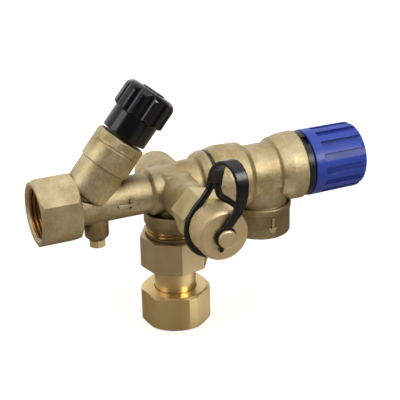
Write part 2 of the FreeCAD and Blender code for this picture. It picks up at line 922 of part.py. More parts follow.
def drain_strap():
    ring_end = strap_ring_start + strap_ring_thick
    ring = tube(strap_ring_radius, strap_neck + free_gap, strap_ring_start, ring_end)
    eye = tube(strap_eye_radius, stud_radius + free_gap, eye_start, eye_start + strap_thick)
    back = strap_ring_start + strap_ring_thick / 2 - strap_thick / 2
    front = eye_start + strap_thick
    middle = (back + front) / 2
    outer = (front - back) / 2
    inner = outer - strap_thick
    top = strap_rise
    low_back = strap_ring_radius - strap_root
    low_front = strap_eye_radius - eye_root
    side = -strap_width / 2
    edges = [
        Part.LineSegment(V(side, low_back, back), V(side, top, back)).toShape(),
        Part.Arc(V(side, top, back), V(side, top + outer, middle), V(side, top, front)).toShape(),
        Part.LineSegment(V(side, top, front), V(side, low_front, front)).toShape(),
        Part.LineSegment(V(side, low_front, front), V(side, low_front, eye_start)).toShape(),
        Part.LineSegment(V(side, low_front, eye_start), V(side, top, eye_start)).toShape(),
        Part.Arc(V(side, top, eye_start), V(side, top + inner, middle),
                 V(side, top, back + strap_thick)).toShape(),
        Part.LineSegment(V(side, top, back + strap_thick), V(side, low_back, back + strap_thick)).toShape(),
        Part.LineSegment(V(side, low_back, back + strap_thick), V(side, low_back, back)).toShape()]
    band = Part.Face(Part.Wire(edges)).extrude(V(strap_width, 0, 0))
    return ring.fuse(band).fuse(eye).removeSplitter()


# Relief valve body
def relief_body():
    shoulder = flange_reach + ring_gap
    form = turned([
        (0, flange_reach - relief_spigot),
        (three_quarter_outer, flange_reach - relief_spigot),
        (three_quarter_outer, shoulder),
        (relief_ring_start, shoulder, relief_ring_corner),
        (relief_ring_radius, shoulder + relief_ring_rise, relief_ring_round),
        (relief_ring_edge, relief_ring_end, cast_round),
        (waist_radius, waist_start, cast_crease),
        (waist_radius, waist_end, cast_crease),
        (shoulder_radius, shoulder_place, cast_crease),
        (housing_start_radius, housing_start, cast_round),
        (housing_radius, housing_end, housing_round),
        (0, housing_end)])
    under = axis_height - outlet_drop
    bead_top = axis_height - outlet_top
    outlet = turned([
        (0, axis_height),
        (outlet_neck, axis_height),
        (outlet_neck, bead_top),
        (outlet_bead_radius, bead_top, bead_round),
        (outlet_bead_radius, bead_top - outlet_bead, bead_under_round),
        (outlet_radius, bead_top - outlet_bead),
        (outlet_radius, under, outlet_round),
        (0, under)])
    body = placed(form, main_place).fuse(placed(outlet, upright(outlet_place, 0)))
    lip_start = relief_seat_place - relief_seat_rise
    seat_start = lip_start - relief_seat_depth
    bore = rod(relief_inlet_bore, flange_reach - relief_spigot, seat_start)
    bore = bore.fuse(rod(relief_seat_hole, seat_start, relief_seat_place))
    lip = tube(relief_seat_hole + relief_seat_lip, relief_seat_hole, lip_start, relief_seat_place)
    bore = bore.fuse(rod(relief_chamber, lip_start, housing_floor).cut(lip))
    bore = bore.fuse(rod(housing_bore, housing_floor, housing_end))
    drain = rod(outlet_bore, under, axis_height)
    drain = drain.fuse(rod(inch_minor, under, under + outlet_thread))
    drain = drain.fuse(cone(inch_minor + sink_depth, inch_minor, under, under + sink_depth))
    seat_plate = placed(rod(waist_radius, seat_start - spare, lip_start), main_place)
    drain = placed(drain, upright(outlet_place, 0)).cut(seat_plate)
    return body.cut(placed(bore, main_place)).cut(drain).removeSplitter()


# Relief valve insides
def relief_disc():
    return turned([
        (0, relief_seal_end),
        (relief_seal_radius + screw_gap, relief_seal_end),
        (relief_seal_radius + screw_gap, relief_seal_end - relief_disc_rim),
        (relief_disc_radius, relief_seal_end - relief_disc_rim, relief_disc_rim_round),
        (relief_disc_radius, relief_seal_end + relief_disc_thick, relief_disc_round),
        (relief_hub_radius, relief_seal_end + relief_disc_thick),
        (relief_hub_radius, housing_floor - seat_gap),
        (relief_stem_radius + screw_gap, housing_floor - seat_gap),
        (relief_stem_radius + screw_gap, relief_stem_start),
        (0, relief_stem_start)])


def relief_stem():
    stem = turned([
        (0, relief_stem_start),
        (relief_stem_radius, relief_stem_start),
        (relief_stem_radius, cap_hub_start - seat_gap),
        (cap_stem_radius, cap_hub_start - seat_gap),
        (cap_stem_radius, cap_hub_end + seat_gap),
        (0, cap_hub_end + seat_gap)])
    return stem.cut(rod(cap_screw_radius + screw_gap, cap_hub_end - cap_screw_length, cap_hub_end + spare))


def relief_cap_screw():
    start = cap_hub_end + seat_gap
    return turned([
        (0, cap_hub_end - cap_screw_length + screw_end_room),
        (cap_screw_radius, cap_hub_end - cap_screw_length + screw_end_room),
        (cap_screw_radius, start),
        (cap_screw_head, start),
        (cap_screw_head, start + cap_screw_head_thick, screw_head_round),
        (0, start + cap_screw_head_thick)])


def relief_spring_plate():
    return turned([
        (relief_stem_radius + screw_gap, plate_start),
        (spring_plate_radius, plate_start),
        (spring_plate_radius, plate_start + spring_plate_thick),
        (spring_plate_hub, plate_start + spring_plate_thick),
        (spring_plate_hub, plate_start + spring_plate_thick + spring_plate_hub_length),
        (relief_stem_radius + screw_gap, plate_start + spring_plate_thick + spring_plate_hub_length)])


def relief_adjuster():
    end = spring_end + adjuster_thick
    disc = tube(bonnet_inner - screw_gap, relief_stem_radius + free_gap, spring_end, end)
    slot = Part.makeBox(2 * bonnet_inner, adjuster_slot, adjuster_thick,
                        V(-bonnet_inner, -adjuster_slot / 2, spring_end + adjuster_thick / 2))
    return disc.cut(slot)


# Cam faces: shallow notches across a ring, and lugs that sit in them
def cam_wedges(tip, base, half_width, reach):
    wedges = []
    for i in range(cam_lugs):
        corners = [V(0, -half_width, base), V(0, half_width, base), V(0, 0, tip), V(0, -half_width, base)]
        wedge = Part.Face(Part.makePolygon(corners)).extrude(V(reach, 0, 0))
        wedge.rotate(V(0, 0, 0), V(0, 0, 1), 360 * i / cam_lugs)
        wedges.append(wedge)
    return wedges


def relief_bonnet():
    start = housing_floor + diaphragm_thick
    bonnet = turned([
        (bonnet_inner, start),
        (housing_bore - screw_gap, start),
        (housing_bore - screw_gap, housing_end),
        (bonnet_ring_radius, housing_end, bonnet_ring_round),
        (bonnet_ring_radius, bonnet_ring_end, bonnet_ring_round),
        (bonnet_sleeve, bonnet_ring_end),
        (bonnet_sleeve, bonnet_sleeve_end),
        (bonnet_inner, bonnet_sleeve_end)])
    notch = Part.makeBox(2 * bonnet_notch_depth, bonnet_notch_width, bonnet_ring_end - housing_end,
                         V(bonnet_ring_radius - bonnet_notch_depth, -bonnet_notch_width / 2, housing_end))
    notch.rotate(V(0, 0, 0), V(0, 0, 1), bonnet_notch_turn)
    bonnet = bonnet.cut(notch)
    notch_floor = bonnet_sleeve_end - cam_depth
    for wedge in cam_wedges(notch_floor, bonnet_sleeve_end, cam_half_width, relief_cap_bore):
        bonnet = bonnet.cut(wedge)
    return bonnet


def relief_cap():
    start = bonnet_ring_end + cap_gap
    inner_end = relief_cap_end - relief_cap_wall
    crown_start = bonnet_sleeve_end + free_gap
    cap = turned([
        (0, start),
        (relief_cap_rim, start, relief_cap_foot_round),
        (relief_cap_rim, start + relief_cap_collar),
        (relief_cap_tip, relief_cap_end, relief_cap_round),
        (0, relief_cap_end)])
    for i in range(relief_cap_flutes):
        flute = Part.makeBox(2 * relief_cap_flute_depth, relief_cap_flute_width, relief_cap_end,
                             V(relief_cap_tip - relief_cap_flute_depth, -relief_cap_flute_width / 2,
                               start + relief_cap_collar))
        flute.rotate(V(0, 0, 0), V(0, 0, 1), relief_cap_turn + 360 * i / relief_cap_flutes)
        cap = cap.cut(flute)
    cap = cap.cut(rod(relief_cap_bore, start, inner_end))
    crown = tube(bonnet_sleeve, bonnet_inner, crown_start, inner_end + spare)
    lug_tip = bonnet_sleeve_end - cam_depth + free_gap
    lug_root = crown_start + crown_root
    lug_half = cam_half_width * (lug_root - lug_tip) / cam_depth
    band = tube(bonnet_sleeve, bonnet_inner, lug_tip, lug_root)
    for wedge in cam_wedges(lug_tip, lug_root, lug_half, relief_cap_bore):
        crown = crown.fuse(band.common(wedge))
    cap = cap.fuse(crown)
    cap = cap.fuse(rod(cap_hub_radius, cap_hub_start, inner_end + spare))
    cap = cap.cut(rod(cap_screw_recess, cap_hub_end, relief_cap_end))
    return cap.cut(rod(cap_stem_radius + running_gap, start, relief_cap_end)).removeSplitter()


# Places and sizes worked out from the sizes above
inch_minor = inch_outer - inch_thread
tail_radius = inch_outer - union_shoulder
tail_bore = tail_radius - tail_wall
tail_flange_radius = inch_minor - tail_flange_gap
outlet_bore = inch_minor - outlet_step
pipe_bore = check_bore - check_step
poppet_radius = check_bore - 2 * screw_gap - cage_wall - poppet_gap
cage_seat_hole = poppet_radius - poppet_overlap
check_seal_inner = cage_seat_hole - check_seal_hub
cap_radius = three_quarter_outer + running_gap + cap_side_wall
strap_neck = three_quarter_outer - strap_neck_depth
strap_ring_radius = strap_neck + strap_ring_width
retaining_radius = tail_radius + retaining_stand
retaining_height = axis_height - upper_nut_top - upper_nut_height + nut_lip + retaining_wire + seat_gap
bonnet_top = boss_top + bonnet_flange
stem_ring_place = bonnet_top + bonnet_neck_length - stem_ring_depth
stem_ring_radius = stem_radius + running_gap + stem_ring_wire
bonnet_ring_place = boss_top - bonnet_ring_wire - screw_gap
bonnet_seal_radius = bonnet_thread - bonnet_ring_wire
disc_seal_under = seat_wall / 2 + seat_lip + seat_gap
disc_under = disc_seal_under + disc_seal_thick
spindle_seat = disc_under + disc_screw_length + disc_floor
disc_hub_top = disc_under + disc_thick + disc_hub_length
clip_place = disc_hub_top - clip_drop
screw_start = disc_hub_top + screw_stand
knob_start = bonnet_top + knob_gap
knob_end = knob_start + skirt_length + grip_length
knob_floor = knob_end - knob_recess_depth
knob_hub_start = bonnet_top + bonnet_neck_length + knob_hub_gap
stem_end = knob_floor - stem_end_gap
cage_start = screw_gap - check_shoulder
cage_end = cage_start + cage_length
cage_ring_radius = check_bore - 2 * screw_gap - cage_ring_wire
cage_ring_centre = cage_start + cage_ring_place
poppet_start = cage_start + cage_seat_thick + seat_gap + check_seal_thick
drain_seal_end = drain_seat_place + seat_gap + drain_seal_thick
drain_ring_radius = half_outer - drain_ring_wire
drain_ring_place = branch_reach - drain_ring_wire - screw_gap
strap_ring_start = drain_hex_end + free_gap
eye_start = cap_end + eye_gap
relief_seal_end = relief_seat_place + seat_gap + relief_seal_thick
relief_stem_start = relief_seal_end + relief_disc_thick + relief_stem_stand
plate_start = housing_floor + diaphragm_thick + seat_gap
spring_start = plate_start + spring_plate_thick + seat_gap
cap_hub_end = relief_cap_end - cap_screw_depth
cap_hub_start = cap_hub_end - cap_hub_thick
cam_half_width = cam_ease * bonnet_sleeve * math.radians(relief_turn) * cam_depth / relief_stroke

gasket_top = axis_height - port_end
tail_under = lower_nut_height - nut_lip - free_gap - tail_flange_thick
washer_start = nozzle_end + seat_gap

pieces = [
    ("main_body", main_body(), None),
    ("upper_union_nut", upper_union_nut(), upright(0, axis_height - upper_nut_top - upper_nut_height)),
    ("lower_union_nut", lower_union_nut(), None),
    ("tail_piece", tail_piece(), None),
    ("tail_retaining_ring", wire_ring(retaining_radius, retaining_wire, retaining_height), None),
    ("upper_gasket", tube(inch_minor - gasket_inset, tail_bore, gasket_top - gasket_thick, gasket_top), None),
    ("lower_gasket", tube(tail_flange_radius, tail_bore, tail_under - gasket_thick, tail_under), None),
    ("stop_bonnet", stop_bonnet(), stop_place),
    ("bonnet_seal", wire_ring(bonnet_seal_radius, bonnet_ring_wire, bonnet_ring_place), stop_place),
    ("stem_seal", wire_ring(stem_ring_radius, stem_ring_wire, stem_ring_place), stop_place),
    ("stop_disc", stop_disc(), stop_place),
    ("stop_disc_seal", tube(disc_seal_radius, disc_screw_radius + screw_gap, disc_seal_under, disc_under),
     stop_place),
    ("stop_disc_screw", stop_disc_screw(), stop_place),
    ("stop_disc_clip", stop_disc_clip(), stop_place),
    ("stop_spindle", stop_spindle(), stop_place),
    ("knob", knob(), stop_place),
    ("knob_screw", knob_screw(), stop_place),
    ("knob_cap", knob_cap(), stop_place),
    ("test_plug", test_plug(), upright(-test_place, 0)),
    ("test_plug_washer", tube(plug_washer_radius, plug_thread + screw_gap,
                              axis_height - test_drop - plug_washer_thick, axis_height - test_drop),
     upright(-test_place, 0)),
    ("check_cage", check_cage(), main_place),
    ("check_cage_ring", wire_ring(cage_ring_radius, cage_ring_wire, cage_ring_centre), main_place),
    ("check_poppet", check_poppet(), main_place),
    ("check_seal", tube(poppet_radius, check_seal_inner, poppet_start - check_seal_thick, poppet_start),
     main_place),
    ("check_spring", coil(check_spring_radius, check_spring_wire, poppet_start + poppet_thick + seat_gap,
                          cage_end - spider_thick - seat_gap, check_spring_turns), main_place),
    ("drain_body", drain_body(), drain_place),
    ("drain_body_seal", wire_ring(drain_ring_radius, drain_ring_wire, drain_ring_place), drain_place),
    ("drain_seal", drain_seal(), drain_place),
    ("drain_spindle", drain_spindle(), drain_place),
    ("drain_cap", drain_cap(), drain_place),
    ("cap_washer", rod(three_quarter_outer - free_gap, washer_start, washer_start + cap_washer_thick),
     drain_place),
    ("drain_strap", drain_strap(), drain_place),
    ("body_seal_ring", tube(flange_radius, three_quarter_outer + screw_gap, flange_reach,
                            flange_reach + ring_gap), main_place),
    ("relief_body", relief_body(), None),
    ("relief_disc_seal", rod(relief_seal_radius, relief_seat_place + seat_gap, relief_seal_end), main_place),
    ("relief_disc", relief_disc(), main_place),
    ("relief_stem", relief_stem(), main_place),
    ("relief_diaphragm", tube(housing_bore - screw_gap, diaphragm_hole, housing_floor,
                              housing_floor + diaphragm_thick), main_place),
    ("relief_spring_plate", relief_spring_plate(), main_place),
    ("relief_spring", coil(relief_spring_radius, relief_spring_wire, spring_start, spring_end - seat_gap,
                           relief_spring_turns), main_place),
    ("relief_adjuster", relief_adjuster(), main_place),
    ("relief_bonnet", relief_bonnet(), main_place),
    ("relief_cap", relief_cap(), main_place),
    ("relief_cap_screw", relief_cap_screw(), main_place)]

os.makedirs("parts", exist_ok=True)
for node, shape, placement in pieces:
    if placement is not None:
        shape = placed(shape, placement)
    save(node, shape)
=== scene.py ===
import bpy
import math
from mathutils import Matrix, Vector


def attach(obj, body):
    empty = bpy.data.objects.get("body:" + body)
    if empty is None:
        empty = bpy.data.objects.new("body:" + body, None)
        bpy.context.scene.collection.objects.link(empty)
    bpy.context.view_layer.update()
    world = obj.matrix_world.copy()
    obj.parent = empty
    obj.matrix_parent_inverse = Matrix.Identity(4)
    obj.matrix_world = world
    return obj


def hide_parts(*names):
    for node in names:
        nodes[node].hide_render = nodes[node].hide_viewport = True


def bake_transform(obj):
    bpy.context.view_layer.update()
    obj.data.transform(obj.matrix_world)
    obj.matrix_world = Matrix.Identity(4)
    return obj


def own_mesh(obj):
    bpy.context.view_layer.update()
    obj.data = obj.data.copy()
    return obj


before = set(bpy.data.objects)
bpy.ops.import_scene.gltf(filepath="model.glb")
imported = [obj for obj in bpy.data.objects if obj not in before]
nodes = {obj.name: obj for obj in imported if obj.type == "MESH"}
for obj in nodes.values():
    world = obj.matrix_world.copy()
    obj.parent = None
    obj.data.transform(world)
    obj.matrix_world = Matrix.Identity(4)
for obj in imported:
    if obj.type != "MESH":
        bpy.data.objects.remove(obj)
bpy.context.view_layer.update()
mm = 0.001  # sizes below are in mm, and Blender's in metres
axisHeight = 88.0  # main pipe above the foot
inletFace = -86.6  # where the pipe starts, along X
outletMiddle = 58.3  # where the outlet hangs, along X
print("frame loaded,", len(nodes), "nodes")


def colour(hexText):
    # sRGB hex to the linear values that Blender wants
    parts = [int(hexText[i:i + 2], 16) / 255 for i in (1, 3, 5)]
    return [p / 12.92 if p <= 0.04045 else ((p + 0.055) / 1.055) ** 2.4 for p in parts] + [1.0]


def addNode(mat, kind, settings=None, inputs=None):
    made = mat.node_tree.nodes.new(kind)
    for key, value in (settings or {}).items():
        setattr(made, key, value)
    for key, value in (inputs or {}).items():
        if isinstance(value, bpy.types.NodeSocket):
            mat.node_tree.links.new(value, made.inputs[key])
        else:
            made.inputs[key].default_value = value
    return made


mixShare, mixFrom, mixTo = 0, 6, 7  # a colour Mix's sockets
mixColour = 2  # and its output
noiseSpan = (0.3, 0.7)  # where most of a noise's values lie
roughSpread = 0.15  # how far a finish strays from its roughness, as a share
whiteLight = "#ffffff"


def perMetre(sizeMm):
    # how many pattern steps of this size fit in a metre
    return 1000.0 / sizeMm


def span(end, limits):
    # both limits of one end of a Map Range
    return {end + " Min": limits[0], end + " Max": limits[1]}


def aroundRough(rough):
    return rough * (1 - roughSpread), rough * (1 + roughSpread)


def newMaterial(name):
    mat = bpy.data.materials.new(name)
    mat.use_nodes = True
    mat.node_tree.nodes.clear()
    place = addNode(mat, "ShaderNodeTexCoord").outputs["Object"]
    return mat, place


def findWearAndShade(mat, look):
    # the softened normal, how far each spot is a rubbed edge, and how much painted shade falls in its corners
    # and hollows
    soft = addNode(mat, "ShaderNodeBevel", {"samples": 6}, {"Radius": look["edgeMm"] * mm})
    flat = addNode(mat, "ShaderNodeNewGeometry")
    alike = addNode(mat, "ShaderNodeVectorMath", {"operation": "DOT_PRODUCT"},
                    {0: soft.outputs[0], 1: flat.outputs["Normal"]})
    edge = addNode(mat, "ShaderNodeMapRange", None,
                   {"Value": alike.outputs["Value"], **span("From", look["edgeSpan"]),
                    "To Max": look["edgeShare"]})
    shadeOcclusion = addNode(mat, "ShaderNodeAmbientOcclusion", {"samples": 12},
                        {"Distance": look["shadeMm"] * mm})
    paintedShade = addNode(mat, "ShaderNodeMapRange", None,
                     {"Value": shadeOcclusion.outputs["AO"], **span("From", look["shadeSpan"]),
                      "To Max": look["shadeShare"]})
    return soft.outputs[0], edge.outputs[0], paintedShade.outputs[0]


# Sand cast brass, shot blasted: a dull khaki gold with cloudy patches, pale rubbed edges, painted brown shade
# in its creases and hollows, and darker brown towards the bottom. The grain is drawn coarser than the real
# grit, so that it shows.
castLook = {
    "light": "#e0d0aa", "dark": "#aa925e", "toneSpan": (0.5, 1.0),
    "cloudMm": 14.0, "grainMm": 1.1, "grainShare": 0.5,
    "wornAndHighlight": "#efe4c8", "edgeMm": 0.9, "edgeSpan": (0.97, 0.8), "edgeShare": 0.5,
    # painted shade: brown in creases and hollows, by ambient occlusion
    "paintedShade": "#483212", "shadeMm": 14.0, "shadeSpan": (0.85, 0.25), "shadeShare": 0.85,
    "lowDarkSpan": (86.0, 68.0), "lowDarkShare": 0.5, "lowDarkRagged": 8.0,
    "metallic": 0.9, "rough": (0.42, 0.54), "bumpMm": 0.2,
}
# small raised marks on the same casting, painted pale: partly rubbed wear, partly a painted highlight
markLook = {**castLook, "light": castLook["wornAndHighlight"], "edgeMm": 0.25, "lowDarkShare": 0.1}


def makeCastBrass(name, look):
    mat, place = newMaterial(name)
    cloud = addNode(mat, "ShaderNodeTexNoise", None,
                    {"Vector": place, "Scale": perMetre(look["cloudMm"]), "Detail": 4.0, "Roughness": 0.6})
    grain = addNode(mat, "ShaderNodeTexNoise", None,
                    {"Vector": place, "Scale": perMetre(look["grainMm"]), "Detail": 3.0, "Roughness": 0.7})
    mottled = addNode(mat, "ShaderNodeMath", {"operation": "MULTIPLY_ADD"},
                      {0: grain.outputs["Fac"], 1: look["grainShare"], 2: cloud.outputs["Fac"]})
    share = addNode(mat, "ShaderNodeMapRange", None,
                    {"Value": mottled.outputs[0], **span("From", look["toneSpan"])})
    tone = addNode(mat, "ShaderNodeMix", {"data_type": "RGBA"},
                   {mixShare: share.outputs[0], mixFrom: colour(look["dark"]), mixTo: colour(look["light"])})
    soft, edge, paintedShade = findWearAndShade(mat, look)
    wornAndHighlight = addNode(mat, "ShaderNodeMix", {"data_type": "RGBA"},
                   {mixShare: edge, mixFrom: tone.outputs[mixColour], mixTo: colour(look["wornAndHighlight"])})
    height = addNode(mat, "ShaderNodeSeparateXYZ", None, {0: place})
    ragged = addNode(mat, "ShaderNodeMath", {"operation": "MULTIPLY_ADD"},
                     {0: cloud.outputs["Fac"], 1: look["lowDarkRagged"] * mm, 2: height.outputs["Z"]})
    lowDark = addNode(mat, "ShaderNodeMapRange", None,  # darker brown towards the bottom
                    {"Value": ragged.outputs[0], **span("From", [z * mm for z in look["lowDarkSpan"]]),
                     "To Max": look["lowDarkShare"]})
    # painted shade in creases, together with the darker brown low down
    darkShare = addNode(mat, "ShaderNodeMath", {"operation": "MAXIMUM"}, {0: paintedShade, 1: lowDark.outputs[0]})
    darkened = addNode(mat, "ShaderNodeMix", {"data_type": "RGBA"},
                   {mixShare: darkShare.outputs[0], mixFrom: wornAndHighlight.outputs[mixColour],
                    mixTo: colour(look["paintedShade"])})
    rough = addNode(mat, "ShaderNodeMapRange", None,
                    {"Value": grain.outputs["Fac"], **span("From", noiseSpan), **span("To", look["rough"])})
    bump = addNode(mat, "ShaderNodeBump", None,
                   {"Strength": 1.0, "Distance": look["bumpMm"] * mm, "Height": grain.outputs["Fac"],
                    "Normal": soft})
    shader = addNode(mat, "ShaderNodeBsdfPrincipled", None,
                     {"Base Color": darkened.outputs[mixColour], "Metallic": look["metallic"],
                      "Roughness": rough.outputs[0], "Normal": bump.outputs[0]})
    addNode(mat, "ShaderNodeOutputMaterial", None, {"Surface": shader.outputs[0]})
    return mat


# Machined brass: smoother and brighter than the castings, with faint tool lines round the axis, drawn
# coarser than real ones so that they show. The cap's is rosier, and the cut threads are a darker, coppery
# brown.
upright = {"axis": "Z", "centre": (0, 0, 0)}
facingForward = {"axis": "Y", "centre": (0, 0, axisHeight)}
turnedLooks = {
    "turnedBrassUpright": {"light": "#dfcba2", "dark": "#c9b084", "rough": 0.42, **upright},
    # yellower, and lighter as painted light, for the lower nut, tail and plug
    "turnedBrassTailPaintedLight": {"light": "#f3dba6", "dark": "#e0c07e", "rough": 0.34, **upright},
    "turnedBrassDrain": {"light": "#f4e4b6", "dark": "#e4ce98", "rough": 0.5, **facingForward},
    "turnedBrassCap": {"light": "#f8e2b8", "dark": "#e4c898", "rough": 0.46, **facingForward},
    "cutThreadBrass": {"light": "#b07a42", "dark": "#6a3e1a", "rough": 0.3, **upright},
    "threadBrass": {"light": "#cca45c", "dark": "#885d28", "rough": 0.26, **upright},
}
turnedLook = {"lineMm": 2.566, "cloudMm": 9.0, "edgeMm": 0.5, "metallic": 0.95, "bump": 0.12, "bumpMm": 0.06}
waveLength = math.tau / 20  # of Blender's wave pattern at a scale of one


def makeTurnedBrass(name):
    look = {**turnedLook, **turnedLooks[name]}
    mat, place = newMaterial(name)
    centred = addNode(mat, "ShaderNodeMapping", {"vector_type": "POINT"},
                      {"Vector": place, "Location": [-c * mm for c in look["centre"]]})
    cloud = addNode(mat, "ShaderNodeTexNoise", None,
                    {"Vector": place, "Scale": perMetre(look["cloudMm"]), "Detail": 3.0})
    rings, bands = [
        addNode(mat, "ShaderNodeTexWave", settings,
                {"Vector": centred.outputs[0], "Scale": waveLength * perMetre(look["lineMm"]),
                 "Distortion": 1.5, "Detail": 2.0})
        for settings in ({"wave_type": "RINGS", "rings_direction": look["axis"]},
                         {"wave_type": "BANDS", "bands_direction": look["axis"]})]
    toolLines = addNode(mat, "ShaderNodeMath", {"operation": "MULTIPLY"},
                        {0: rings.outputs["Fac"], 1: bands.outputs["Fac"]})
    tone = addNode(mat, "ShaderNodeMix", {"data_type": "RGBA"},
                   {mixShare: cloud.outputs["Fac"], mixFrom: colour(look["dark"]),
                    mixTo: colour(look["light"])})
    rough = addNode(mat, "ShaderNodeMapRange", None,
                    {"Value": cloud.outputs["Fac"], **span("From", noiseSpan),
                     **span("To", aroundRough(look["rough"]))})
    soft = addNode(mat, "ShaderNodeBevel", {"samples": 6}, {"Radius": look["edgeMm"] * mm})
    bump = addNode(mat, "ShaderNodeBump", None,
                   {"Strength": look["bump"], "Distance": look["bumpMm"] * mm,
                    "Height": toolLines.outputs[0], "Normal": soft.outputs[0]})
    shader = addNode(mat, "ShaderNodeBsdfPrincipled", None,
                     {"Base Color": tone.outputs[mixColour], "Metallic": look["metallic"],
                      "Roughness": rough.outputs[0], "Normal": bump.outputs[0]})
    addNode(mat, "ShaderNodeOutputMaterial", None, {"Surface": shader.outputs[0]})
    return mat


# Moulded plastics and rubber, and fibre pressed to shape: a faint texture from the mould, drawn coarse
# enough to show, paler rubbed edges, and painted shade down in the flutes and hollows
mouldedLooks = {
    "blackAbs": {"base": "#07080b", "rubbed": "#1c1d22", "shadeTint": "#020203",
                 "rough": 0.2, "grainMm": 1.2, "bump": 0.06, "edgeMm": 0.7},
    "blueAbs": {"base": "#2440ac", "rubbed": "#5a6fd2", "shadeTint": "#14247a",
                "rough": 0.36, "grainMm": 1.4, "bump": 0.10, "edgeMm": 0.5},
    "blackNylon": {"base": "#0b0c0e", "rubbed": "#222428", "shadeTint": "#030304",
                   "rough": 0.36, "grainMm": 1.0, "bump": 0.15, "edgeMm": 0.4},
    "epdmRubber": {"base": "#060607", "rubbed": "#141418", "shadeTint": "#020202",
                   "rough": 0.28, "grainMm": 1.6, "bump": 0.12, "edgeMm": 0.4},
    "pressedFibre": {"base": "#7d4a35", "rubbed": "#a2705a", "shadeTint": "#4a2a1c",
                     "rough": 0.80, "grainMm": 0.7, "bump": 0.35, "edgeMm": 0.3},
    "acetal": {"base": "#dcdacf", "rubbed": "#eeece4", "shadeTint": "#a8a496",
               "rough": 0.42, "grainMm": 1.5, "bump": 0.08, "edgeMm": 0.3},
}
mouldedLook = {"cloudMm": 12.0, "cloudShare": 0.25, "edgeSpan": (0.98, 0.85), "edgeShare": 0.7,
               "shadeMm": 4.5, "shadeSpan": (0.85, 0.4), "shadeShare": 0.85, "bumpMm": 0.1}


def makeMoulded(name):
    look = {**mouldedLook, **mouldedLooks[name]}
    mat, place = newMaterial(name)
    grain = addNode(mat, "ShaderNodeTexNoise", None,
                    {"Vector": place, "Scale": perMetre(look["grainMm"]), "Detail": 3.0, "Roughness": 0.6})
    cloud = addNode(mat, "ShaderNodeTexNoise", None,
                    {"Vector": place, "Scale": perMetre(look["cloudMm"]), "Detail": 3.0})
    soft, edge, paintedShade = findWearAndShade(mat, look)
    patch = addNode(mat, "ShaderNodeMath", {"operation": "MULTIPLY_ADD"},
                    {0: cloud.outputs["Fac"], 1: look["cloudShare"], 2: edge})
    tone = addNode(mat, "ShaderNodeMix", {"data_type": "RGBA"},
                   {mixShare: patch.outputs[0], mixFrom: colour(look["base"]), mixTo: colour(look["rubbed"])})
    # painted shade in the flutes and hollows, by ambient occlusion
    shadedTone = addNode(mat, "ShaderNodeMix", {"data_type": "RGBA"},
                    {mixShare: paintedShade, mixFrom: tone.outputs[mixColour], mixTo: colour(look["shadeTint"])})
    rough = addNode(mat, "ShaderNodeMapRange", None,
                    {"Value": cloud.outputs["Fac"], **span("From", noiseSpan),
                     **span("To", aroundRough(look["rough"]))})
    bump = addNode(mat, "ShaderNodeBump", None,
                   {"Strength": look["bump"], "Distance": look["bumpMm"] * mm,
                    "Height": grain.outputs["Fac"], "Normal": soft})
    shader = addNode(mat, "ShaderNodeBsdfPrincipled", None,
                     {"Base Color": shadedTone.outputs[mixColour], "Roughness": rough.outputs[0],
                      "Normal": bump.outputs[0]})
    addNode(mat, "ShaderNodeOutputMaterial", None, {"Surface": shader.outputs[0]})
    return mat


# Bright steel, drawn to wire or turned to screws: cool and shiny, with a slight unevenness
steelLook = {"light": "#b9babb", "dark": "#8f9193", "streakMm": 0.8, "rough": (0.22, 0.4)}


def makeSteel():
    mat, place = newMaterial("brightSteel")
    streak = addNode(mat, "ShaderNodeTexNoise", None,
                     {"Vector": place, "Scale": perMetre(steelLook["streakMm"]), "Detail": 2.0})
    tone = addNode(mat, "ShaderNodeMix", {"data_type": "RGBA"},
                   {mixShare: streak.outputs["Fac"], mixFrom: colour(steelLook["dark"]),
                    mixTo: colour(steelLook["light"])})
    rough = addNode(mat, "ShaderNodeMapRange", None,
                    {"Value": streak.outputs["Fac"], **span("To", steelLook["rough"])})
    shader = addNode(mat, "ShaderNodeBsdfPrincipled", None,
                     {"Base Color": tone.outputs[mixColour], "Metallic": 1.0, "Roughness": rough.outputs[0]})
    addNode(mat, "ShaderNodeOutputMaterial", None, {"Surface": shader.outputs[0]})
    return mat


castBrass = makeCastBrass("castBrass", castLook)
castMarkBrass = makeCastBrass("castMarkBrass", markLook)
turned = {name: makeTurnedBrass(name) for name in turnedLooks}
moulded = {name: makeMoulded(name) for name in mouldedLooks}
brightSteel = makeSteel()

finishes = {
    castBrass: ["main_body", "relief_body", "stop_bonnet"],
    turned["turnedBrassTailPaintedLight"]: ["lower_union_nut", "tail_piece", "test_plug"],
    turned["turnedBrassUpright"]: ["upper_union_nut", "stop_disc", "stop_spindle", "relief_disc",
                                   "relief_adjuster", "relief_spring_plate"],
    turned["turnedBrassDrain"]: ["drain_body", "drain_spindle"],
    turned["turnedBrassCap"]: ["drain_cap"],
    moulded["blackAbs"]: ["knob", "knob_cap"],
    moulded["blackNylon"]: ["relief_bonnet"],
    moulded["blueAbs"]: ["relief_cap"],
    moulded["epdmRubber"]: ["drain_strap", "bonnet_seal", "stem_seal", "stop_disc_seal", "check_cage_ring",
                            "check_seal", "drain_body_seal", "drain_seal", "cap_washer", "body_seal_ring",
                            "relief_disc_seal", "relief_diaphragm"],
    moulded["pressedFibre"]: ["upper_gasket", "lower_gasket", "test_plug_washer"],
    moulded["acetal"]: ["check_cage", "check_poppet"],
    brightSteel: ["tail_retaining_ring", "stop_disc_screw", "stop_disc_clip", "knob_screw", "check_spring",
                  "relief_spring", "relief_stem", "relief_cap_screw"],
}
for mat, names in finishes.items():
    for name in names:
        nodes[name].data.materials.clear()
        nodes[name].data.materials.append(mat)
print("finishes set,", len(bpy.data.materials), "materials")


def clearSelection():
    if bpy.context.mode != "OBJECT":
        bpy.ops.object.mode_set(mode="OBJECT")
    bpy.ops.object.select_all(action="DESELECT")


